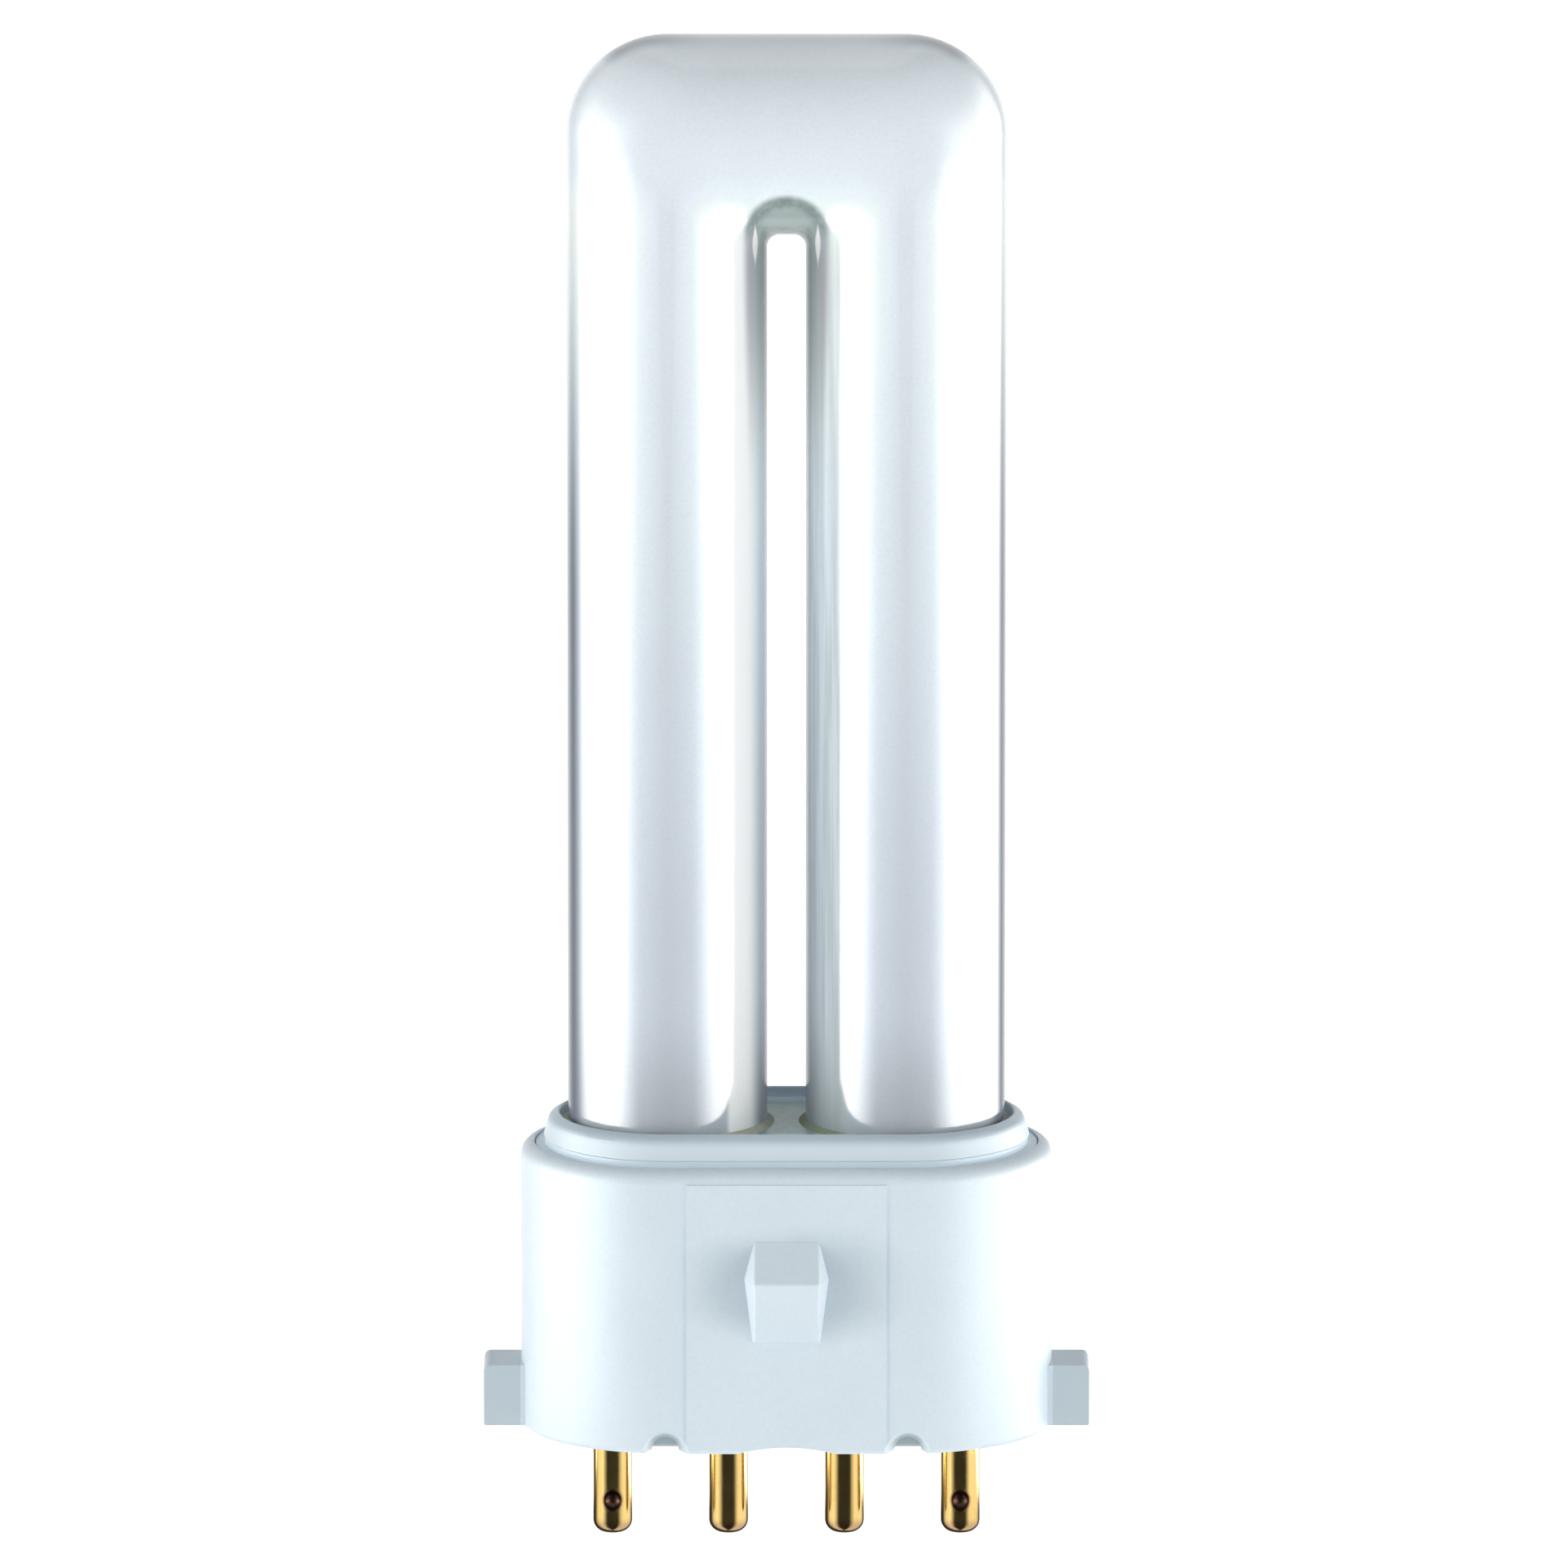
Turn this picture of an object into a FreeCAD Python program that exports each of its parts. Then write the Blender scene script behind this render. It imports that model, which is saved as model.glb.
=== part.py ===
import FreeCAD, Part
import math
import os

from FreeCAD import Vector

# A U-shaped fluorescent lamp whose plug-in base has four contact pins in a row.
# The origin is the middle of the base's bottom face. +Z runs up the lamp to the bend of the
# glass, X runs along the row of pins, and -Y is the front. Every size is in millimetres.
# "About a leg" means measured from the axis of one of the two upright glass legs.

# Glass tube
tube_radius = 6.0
leg_gap = 2.3
lamp_length = 85.0
bend_outer_radius = 6.0
bend_inner_radius = 0.8
seal_taper_length = 3.6
seal_blade_length = 1.8
seal_half_width = 5.2
seal_half_thickness = 1.3
exhaust_tip_radius = 0.9
exhaust_tip_length = 1.5

# Base shell
shell_height = 17.4
shell_wall = 1.2
floor_thickness = 1.2
shoulder_round = 0.8
bottom_round = 0.3
ledge_width = 0.4
ledge_depth = 0.5

# Raised panel on the front and back of the shell
panel_width = 12.0
panel_step = 0.1

# Wedge lugs that latch the lamp in its holder, one on the front and one on the back
lug_width = 3.9
lug_top = 13.15
lug_ridge = 10.85
lug_bottom = 7.0
lug_reach = 1.7
lug_bottom_reach = 0.3
lug_draft_degrees = 19.0
lug_edge_round = 0.18
lug_root_depth = 0.3

# Ears at the two narrow ends of the shell
ear_reach = 2.25
ear_depth = 4.2
ear_bottom = 0.2
ear_top = 3.9
ear_round = 0.4
ear_edge_round = 0.12

# Flared notches and the shallow arch in the shell's bottom edge
notch_spacing = 14.6
notch_mouth_radius = 1.45
notch_throat_radius = 0.8
notch_flare_depth = 1.4
notch_depth = 2.2
arch_width = 6.2
arch_height = 0.45

# Contact pins
pin_pitch = 7.0
pin_radius = 1.175
pin_length = 6.85
pin_tip_round = 0.75
pin_tip_solid = 0.95
pin_bore_radius = 0.75
pin_shank_radius = 1.4
pin_flange_radius = 1.75
pin_flange_height = 0.5
pin_head_height = 1.3
pin_hole_clearance = 0.02
boss_radius = 2.3
boss_height = 1.0
crimp_from_tip = 2.15
crimp_ball_radius = 0.6
crimp_depth = 0.45

# Tube holder, the collar that closes the shell and carries the glass
holder_wall = 1.35
holder_clearance = 0.1
flange_height = 0.4
neck_inset = 0.55
neck_height = 0.4
lip_overhang = 0.1
lip_height = 1.6
lip_slope_height = 1.25
lip_slope_inset = 0.35
lip_round = 0.5
lip_foot_round = 0.12
trough_width = 0.5
trough_depth = 0.7

# Cement between the glass and the holder
cement_thickness = 0.2
cement_bead_width = 0.42
cement_bead_height = 0.3
cement_stop = 0.5

# Lead wires from the press seals into the pins
wire_radius = 0.25
wire_spacing = 3.8
wire_bend_radius = 0.7
wire_straight = 0.6
wire_end_gap = 0.3
wire_room = 2.6

# How far a cutter runs on past the face that it opens
cutter_overrun = 1.0

# Places that follow from the sizes above
leg_x = tube_radius + leg_gap / 2
bend_axis_z = lamp_length - tube_radius
socket_radius = tube_radius + cement_thickness
plug_radius = socket_radius + holder_wall
cavity_radius = plug_radius + holder_clearance
shell_radius = cavity_radius + shell_wall
shell_half_width = leg_x + shell_radius
ledge_radius = cavity_radius + ledge_width
ledge_z = shell_height - ledge_depth
flange_radius = ledge_radius - holder_clearance
neck_z = ledge_z + flange_height
neck_radius = flange_radius - neck_inset
lip_z = neck_z + neck_height
lip_radius = neck_radius + lip_overhang
rim_z = lip_z + lip_height
trough_radius = tube_radius + trough_width
trough_z = rim_z - trough_depth
boss_top_z = floor_thickness + boss_height
pin_flange_top_z = boss_top_z + pin_flange_height
pin_top_z = pin_flange_top_z + pin_head_height
seal_end_z = pin_top_z + wire_room
leg_end_z = seal_end_z + seal_blade_length + seal_taper_length
plug_bottom_z = leg_end_z
crimp_z = crimp_from_tip - pin_length
pin_places = [(index - 1.5) * pin_pitch for index in range(4)]

up = Vector(0, 0, 1)
origin = Vector(0, 0, 0)


def rounded_path(corners, closed):
    """Edges through corners given as (x, z, rounding), in the XZ plane."""
    edges = []
    joints = []
    count = len(corners)
    for index, (x, z, rounding) in enumerate(corners):
        corner = Vector(x, 0, z)
        inside = closed or 0 < index < count - 1
        if rounding == 0 or not inside:
            joints.append((corner, None, corner))
            continue
        last = corners[index - 1]
        following = corners[(index + 1) % count]
        back = (Vector(last[0], 0, last[1]) - corner).normalize()
        ahead = (Vector(following[0], 0, following[1]) - corner).normalize()
        half_angle = back.getAngle(ahead) / 2
        set_back = rounding / math.tan(half_angle)
        crown = (back + ahead).normalize() * (rounding / math.sin(half_angle) - rounding)
        joints.append((corner + back * set_back, corner + crown, corner + ahead * set_back))
    for index, (start, crown, end) in enumerate(joints):
        if index > 0:
            edges.append(Part.LineSegment(joints[index - 1][2], start).toShape())
        if crown is not None:
            edges.append(Part.Arc(start, crown, end).toShape())
    if closed:
        edges.append(Part.LineSegment(joints[-1][2], joints[0][0]).toShape())
    return Part.Wire(edges)


def rounded_face(corners):
    """Face in the XZ plane whose corners are (x, z, rounding)."""
    return Part.Face(rounded_path(corners, True))


def turned_solid(corners, x):
    """Solid of revolution about the upright line at x, from corners (radius, z, rounding)."""
    solid = rounded_face(corners).revolve(origin, up, 360)
    return solid.translated(Vector(x, 0, 0))


def oval_solid(corners):
    """Solid around both legs: the profile turned about each leg and run straight between them."""
    face = rounded_face(corners)
    front = face.rotated(origin, up, -90)
    back = face.rotated(origin, up, 90)
    right_end = front.revolve(origin, up, 180).translated(Vector(leg_x, 0, 0))
    left_end = back.revolve(origin, up, 180).translated(Vector(-leg_x, 0, 0))
    run = Vector(2 * leg_x, 0, 0)
    middle = [side.translated(Vector(-leg_x, 0, 0)).extrude(run) for side in (front, back)]
    return right_end.multiFuse([left_end] + middle).removeSplitter()


def oval_prism(radius, low_z, high_z):
    """Plain oval block of the given radius about the legs."""
    return oval_solid([(0, low_z, 0), (radius, low_z, 0), (radius, high_z, 0), (0, high_z, 0)])


def front_and_back(solid):
    """The solid and its copy turned half round the lamp's axis."""
    return [solid, solid.rotated(origin, up, 180)]


def bend_patch(quadrant, side):
    """One quarter of the glass skin round a corner of the bend, as an exact rational patch.

    The tube's section angle runs over one quadrant. Seen from the front, each line along the
    tube turns the corner on an arc whose radius goes evenly from the inner corner's to the outer
    corner's, so the skin meets the straight tubes with no kink.
    """
    mean_radius = (bend_outer_radius + bend_inner_radius) / 2
    spread = (bend_outer_radius - bend_inner_radius) / 2
    section = [quadrant * math.pi / 2, (quadrant + 0.5) * math.pi / 2, (quadrant + 1) * math.pi / 2]
    stretch = [1, math.sqrt(2), 1]
    weight = [1, math.sqrt(0.5), 1]
    sweep = [(1, 0), (1, 1), (0, 1)]
    poles = []
    weights = []
    for angle, scale, section_weight in zip(section, stretch, weight):
        outward = scale * math.cos(angle)
        sideways = scale * math.sin(angle)
        radius = mean_radius + spread * outward
        centre_shift = tube_radius * outward - radius
        row = []
        for across, along in sweep:
            x = leg_x + centre_shift + radius * across
            z = bend_axis_z + centre_shift + radius * along
            row.append(Vector(side * x, tube_radius * sideways, z))
        poles.append(row)
        weights.append([section_weight * sweep_weight for sweep_weight in weight])
    surface = Part.BSplineSurface()
    surface.buildFromPolesMultsKnots(
        poles, [3, 3], [3, 3], [0, 1], [0, 1], False, False, 2, 2, weights
    )
    return surface.toShape()


def bend_corner(side):
    """Solid corner of the bend between its two oblique cuts through the straight tubes."""
    patches = [bend_patch(quadrant, side) for quadrant in range(4)]
    mean_radius = (bend_outer_radius + bend_inner_radius) / 2
    lean = tube_radius - (bend_outer_radius - bend_inner_radius) / 2
    leg_middle = Vector(side * leg_x, 0, bend_axis_z - mean_radius)
    bar_middle = Vector(side * (leg_x - mean_radius), 0, bend_axis_z)
    leg_slope = Vector(side * tube_radius, 0, lean)
    bar_slope = Vector(side * lean, 0, tube_radius)
    cuts = []
    for middle, slope in ((leg_middle, leg_slope), (bar_middle, bar_slope)):
        rim = [edge for patch in patches for edge in patch.Edges
               if on_cut(edge, middle, slope)]
        cuts.append(Part.Face(Part.Wire(Part.__sortEdges__(rim))))
    shell = Part.Shell(patches + cuts)
    shell.sewShape()
    solid = Part.makeSolid(shell)
    if solid.Volume < 0:
        solid.reverse()
    return solid


def on_cut(edge, middle, slope):
    """Whether an edge lies in the plane through middle that holds slope and the Y direction."""
    normal = slope.cross(Vector(0, 1, 0)).normalize()
    first, last = edge.ParameterRange
    points = [edge.valueAt(first + share * (last - first)) for share in (0, 0.3, 0.7, 1)]
    return all(abs((point - middle).dot(normal)) < 1e-6 for point in points)


def straight_tube(start, end, cuts):
    """Round glass rod between two points, kept on the inner side of each oblique cut."""
    rod = Part.makeCylinder(tube_radius, (end - start).Length, start, end - start)
    size = 4 * tube_radius
    for middle, slope, outward in cuts:
        normal = slope.cross(Vector(0, 1, 0)).normalize()
        if normal.dot(outward) < 0:
            normal = normal * -1
        plane = Part.makePlane(size, size)
        plane.translate(Vector(-size / 2, -size / 2, 0))
        turn = FreeCAD.Rotation(up, normal)
        plane.Placement = FreeCAD.Placement(middle, turn).multiply(plane.Placement)
        rod = rod.cut(plane.extrude(normal * size))
    return rod


def press_seal(side):
    """Closed lower end of a leg, where the hot glass is pressed flat round the lead wires."""
    blade_z = leg_end_z - seal_taper_length
    sections = [
        (leg_end_z, tube_radius, tube_radius),
        (leg_end_z - seal_taper_length * 0.25, tube_radius * 0.99, tube_radius * 0.88),
        (blade_z + seal_taper_length * 0.2, seal_half_width * 1.02, seal_half_thickness * 1.6),
        (blade_z, seal_half_width, seal_half_thickness),
    ]
    rings = [oval_ring(side * leg_x, *section) for section in sections]
    taper = Part.makeLoft(rings, True, False)
    blade = Part.Face(rings[-1]).extrude(Vector(0, 0, -seal_blade_length))
    return taper.fuse(blade)


def oval_ring(x, z, half_width, half_thickness):
    """Ellipse in a level plane, its long axis along X."""
    if half_width - half_thickness < 1e-6:
        return Part.Wire(Part.Circle(Vector(x, 0, z), up, half_width).toShape())
    ellipse = Part.Ellipse(Vector(0, 0, 0), half_width, half_thickness)
    ring = Part.Wire(ellipse.toShape())
    return ring.translated(Vector(x, 0, z))


def exhaust_tip():
    """Melted-off stub of the exhaust tube, under the left leg's seal."""
    low_z = seal_end_z - exhaust_tip_length
    high_z = seal_end_z + seal_blade_length / 2
    corners = [(0, low_z, 0), (exhaust_tip_radius, low_z, exhaust_tip_radius * 0.9),
               (exhaust_tip_radius, high_z, 0), (0, high_z, 0)]
    return turned_solid(corners, -leg_x)


def glass_tube():
    """Sealed glass: two legs, the squared bend over them, the press seals and the exhaust tip."""
    mean_radius = (bend_outer_radius + bend_inner_radius) / 2
    lean = tube_radius - (bend_outer_radius - bend_inner_radius) / 2
    pieces = []
    bar_cuts = []
    for side in (-1, 1):
        leg_cut = (Vector(side * leg_x, 0, bend_axis_z - mean_radius),
                   Vector(side * tube_radius, 0, lean), up)
        bar_cuts.append((Vector(side * (leg_x - mean_radius), 0, bend_axis_z),
                         Vector(side * lean, 0, tube_radius), Vector(side, 0, 0)))
        foot = Vector(side * leg_x, 0, leg_end_z)
        head = Vector(side * leg_x, 0, bend_axis_z + tube_radius)
        pieces.append(straight_tube(foot, head, [leg_cut]))
        pieces.append(bend_corner(side))
        pieces.append(press_seal(side))
    reach = Vector(leg_x + tube_radius, 0, 0)
    axis = Vector(0, 0, bend_axis_z)
    bar = straight_tube(axis - reach, axis + reach, bar_cuts)
    return bar.multiFuse(pieces + [exhaust_tip()]).removeSplitter()


def wedge_lug():
    """Front latch lug: a double wedge with drafted sides, rising to a level ridge."""
    wall_y = shell_radius + panel_step
    draft = math.tan(math.radians(lug_draft_degrees))
    half = lug_width / 2
    stations = []
    for z, reach in ((lug_bottom, lug_bottom_reach), (lug_ridge, lug_reach), (lug_top, 0)):
        root_half = half + (reach + lug_root_depth) * draft
        face_y = -wall_y - reach
        root_y = -wall_y + lug_root_depth
        points = [Vector(-half, face_y, z), Vector(half, face_y, z),
                  Vector(root_half, root_y, z), Vector(-root_half, root_y, z)]
        stations.append(Part.makePolygon(points + points[:1]))
    lug = Part.makeLoft(stations, True, True)
    edges = [edge for edge in lug.Edges if is_lug_corner(edge, half, wall_y)]
    return lug.makeFillet(lug_edge_round, edges)


def is_lug_corner(edge, half, wall_y):
    """Whether an edge runs up the lug's face beside a drafted side, or along its ridge."""
    ends = [vertex.Point for vertex in edge.Vertexes]
    on_face = all(abs(abs(end.x) - half) < 1e-6 and end.y < -wall_y + 1e-6 for end in ends)
    upright = abs(ends[0].z - ends[1].z) > 1e-6
    on_ridge = all(abs(end.z - lug_ridge) < 1e-6 for end in ends)
    return on_face and (upright or on_ridge)


def ear():
    """Guide ear at the right end of the shell, rounded at its top outer corner."""
    inner_x = shell_half_width - shell_wall / 2
    outer_x = shell_half_width + ear_reach
    corners = [(inner_x, ear_bottom, 0), (outer_x, ear_bottom, ear_edge_round),
               (outer_x, ear_top, ear_round), (inner_x, ear_top, 0)]
    block = rounded_face(corners).extrude(Vector(0, ear_depth, 0))
    return block.translated(Vector(0, -ear_depth / 2, 0))


def shell_panel():
    """Raised panel that crosses the shell from front to back and stands proud of both walls."""
    half_depth = shell_radius + panel_step
    top_z = shell_height - shoulder_round
    corners = [(-panel_width / 2, 0, 0), (panel_width / 2, 0, 0),
               (panel_width / 2, top_z, 0), (-panel_width / 2, top_z, 0)]
    slab = rounded_face(corners).extrude(Vector(0, 2 * half_depth, 0))
    slab = slab.translated(Vector(0, -half_depth, 0))
    edges = [edge for edge in slab.Edges
             if all(abs(abs(vertex.Point.y) - half_depth) < 1e-6 for vertex in edge.Vertexes)
             and abs(edge.CenterOfMass.z) < 1e-6]
    return slab.makeFillet(bottom_round, edges)


def flared_notch(x):
    """Cutter for one front notch: a half-round mouth that narrows to a short straight throat."""
    mouth_y = -shell_radius - panel_step
    mouth = Vector(x, mouth_y, 0)
    inward = Vector(0, 1, 0)
    flare = Part.makeCone(notch_mouth_radius, notch_throat_radius, notch_flare_depth, mouth, inward)
    throat = Part.makeCylinder(notch_throat_radius, notch_depth, mouth, inward)
    return flare.fuse(throat)


def bottom_arch():
    """Cutter for the shallow arch that crosses the bottom face from front to back."""
    reach = shell_radius + 2 * panel_step
    radius = (arch_width ** 2 / 4 + arch_height ** 2) / (2 * arch_height)
    start = Vector(0, -reach, arch_height - radius)
    return Part.makeCylinder(radius, 2 * reach, start, Vector(0, 1, 0))


def base_shell():
    """Moulded housing: oval cup with pin bosses, latch lugs, ears, notches and a seat ledge."""
    body = oval_solid([
        (0, 0, 0),
        (shell_radius, 0, bottom_round),
        (shell_radius, shell_height, shoulder_round),
        (0, shell_height, 0),
    ])
    outside = front_and_back(wedge_lug()) + front_and_back(ear()) + [shell_panel()]
    body = body.multiFuse(outside)
    cavity = oval_prism(cavity_radius, floor_thickness, shell_height + cutter_overrun)
    ledge = oval_prism(ledge_radius, ledge_z, shell_height + cutter_overrun)
    notches = [cutter for x in (-notch_spacing / 2, notch_spacing / 2)
               for cutter in front_and_back(flared_notch(x))]
    body = body.cut([cavity, ledge, bottom_arch()] + notches)
    boss_foot = floor_thickness / 2
    bosses = [Part.makeCylinder(boss_radius, boss_top_z - boss_foot, Vector(x, 0, boss_foot))
              for x in pin_places]
    hole_radius = pin_shank_radius + pin_hole_clearance
    hole_height = boss_top_z + 2 * cutter_overrun
    holes = [Part.makeCylinder(hole_radius, hole_height, Vector(x, 0, -cutter_overrun))
             for x in pin_places]
    return body.multiFuse(bosses).cut(holes).removeSplitter()


def tube_holder():
    """Collar: plug inside the shell, flange on its ledge, neck, and the rounded lip over it."""
    outside = [
        (0, plug_bottom_z, 0),
        (plug_radius, plug_bottom_z, 0),
        (plug_radius, ledge_z, 0),
        (flange_radius, ledge_z, 0),
        (flange_radius, neck_z, 0),
        (neck_radius, neck_z, 0),
        (neck_radius, lip_z, 0),
        (lip_radius, lip_z, lip_foot_round),
        (lip_radius - lip_slope_inset, lip_z + lip_slope_height, lip_round),
        (trough_radius, rim_z, lip_foot_round),
        (trough_radius, trough_z, 0),
        (0, trough_z, 0),
    ]
    body = oval_solid(outside)
    low_z = plug_bottom_z - cutter_overrun
    height = trough_z - low_z + cutter_overrun
    sockets = [Part.makeCylinder(socket_radius, height, Vector(side * leg_x, 0, low_z))
               for side in (-1, 1)]
    return body.cut(sockets).removeSplitter()


def cement_ring(side):
    """Cement round one leg: a sleeve in the socket with a bead in the trough above it."""
    bead_radius = tube_radius + cement_bead_width
    corners = [
        (tube_radius, plug_bottom_z + cement_stop, 0),
        (socket_radius, plug_bottom_z + cement_stop, 0),
        (socket_radius, trough_z, 0),
        (bead_radius, trough_z, 0),
        (tube_radius, trough_z + cement_bead_height, 0),
    ]
    return turned_solid(corners, side * leg_x)


def contact_pin(x, crimp_side):
    """Drawn brass pin: rounded tip, thicker shank in the shell, flange, open head, crimp dent."""
    corners = [
        (0, -pin_length, 0),
        (pin_radius, -pin_length, pin_tip_round),
        (pin_radius, 0, 0),
        (pin_shank_radius, 0, 0),
        (pin_shank_radius, boss_top_z, 0),
        (pin_flange_radius, boss_top_z, 0),
        (pin_flange_radius, pin_flange_top_z, 0),
        (pin_shank_radius, pin_flange_top_z, 0),
        (pin_shank_radius, pin_top_z, 0),
        (pin_bore_radius, pin_top_z, 0),
        (pin_bore_radius, pin_tip_solid - pin_length, 0),
        (0, pin_tip_solid - pin_length, 0),
    ]
    pin = turned_solid(corners, x)
    outline = Part.makeCylinder(pin_radius, pin_length, Vector(x, 0, -pin_length))
    ball_y = crimp_side * (pin_radius + crimp_ball_radius - crimp_depth)
    centre = Vector(x, ball_y, crimp_z)
    dent = Part.makeSphere(crimp_ball_radius, centre)
    wall = pin_radius - pin_bore_radius
    pushed_wall = Part.makeSphere(crimp_ball_radius + wall, centre).common(outline)
    return pin.fuse(pushed_wall).cut(dent).removeSplitter()


def lead_wire(x):
    """Wire from a press seal to the pin at x, with one easy S-bend, ending inside the pin."""
    side = 1 if x > 0 else -1
    outward = 1 if abs(x) > leg_x else -1
    start_x = side * (leg_x + outward * wire_spacing / 2)
    low_z = pin_tip_solid - pin_length + wire_end_gap
    corners = [
        (start_x, seal_end_z, 0),
        (start_x, seal_end_z - wire_straight, wire_bend_radius),
        (x, pin_top_z + wire_straight, wire_bend_radius),
        (x, low_z, 0),
    ]
    path = rounded_path(corners, False)
    section = Part.Wire(Part.Circle(Vector(start_x, 0, seal_end_z), up, wire_radius).toShape())
    return path.makePipeShell([section], True, False)


def crimp_direction(x):
    """The outer pins are crimped from the front and the inner pins from the back."""
    return -1 if abs(x) > pin_pitch else 1


def build_nodes():
    """Every separate piece of the lamp by its node name."""
    nodes = {
        "glass_tube": glass_tube(),
        "base_shell": base_shell(),
        "tube_holder": tube_holder(),
        "cement_left": cement_ring(-1),
        "cement_right": cement_ring(1),
    }
    for number, x in enumerate(pin_places, start=1):
        nodes[f"contact_pin_{number}"] = contact_pin(x, crimp_direction(x))
        nodes[f"lead_wire_{number}"] = lead_wire(x)
    return nodes


os.makedirs("parts", exist_ok=True)
for name, shape in build_nodes().items():
    box = shape.BoundBox
    print(f"{name}: valid {shape.isValid()}, solids {len(shape.Solids)}, "
          f"volume {shape.Volume:.2f}, z {box.ZMin:.2f} to {box.ZMax:.2f}")
    shape.exportStep(f"parts/{name}.step")
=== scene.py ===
"""Dresses the U-shaped fluorescent lamp for its picture.

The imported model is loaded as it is. The sealed glass is modelled again with a finer skin, and
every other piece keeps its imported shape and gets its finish. All lengths are in metres, in the
model's own frame: +Z runs up the lamp, X along the row of pins, and -Y is the front.
"""

import logging
import math
from dataclasses import dataclass
from enum import Enum
from typing import Any

import bmesh
import bpy
from mathutils import Matrix, Vector


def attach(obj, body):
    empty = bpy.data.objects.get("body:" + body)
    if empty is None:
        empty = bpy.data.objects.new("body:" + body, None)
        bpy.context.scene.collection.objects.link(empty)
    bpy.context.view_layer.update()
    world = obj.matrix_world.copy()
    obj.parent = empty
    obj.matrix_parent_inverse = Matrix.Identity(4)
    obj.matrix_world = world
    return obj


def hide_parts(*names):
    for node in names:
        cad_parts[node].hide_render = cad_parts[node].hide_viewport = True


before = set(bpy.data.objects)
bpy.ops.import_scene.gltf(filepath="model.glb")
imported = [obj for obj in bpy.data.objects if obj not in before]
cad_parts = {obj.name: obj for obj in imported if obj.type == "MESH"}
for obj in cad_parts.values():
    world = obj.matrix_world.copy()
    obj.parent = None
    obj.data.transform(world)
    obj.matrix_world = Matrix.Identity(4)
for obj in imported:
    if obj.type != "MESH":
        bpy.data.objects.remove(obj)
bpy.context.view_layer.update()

log = logging.getLogger("lamp")

Colour = tuple[float, float, float]
Node = bpy.types.Node
Socket = bpy.types.NodeSocket


class Side(Enum):
    """The lamp's two legs, by the sign of their X."""

    LEFT = -1
    RIGHT = 1


@dataclass(frozen=True)
class Span:
    """A smooth change from the first value, where it starts, to the last one, where it ends."""

    start: float
    end: float
    first: float = 0.0
    last: float = 1.0


@dataclass(frozen=True)
class Grain:
    """Cloudy noise: clouds to the metre, finer layers, squeeze along Z, and roughness."""

    scale: float
    detail: float = 3.0
    along: float = 1.0
    rough: float = 0.5


@dataclass(frozen=True)
class Spot:
    """A point on an object: its coordinates, and how far it is from the middle in X and Y."""

    x: Socket
    y: Socket
    z: Socket
    aside: Socket
    deep: Socket


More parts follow.
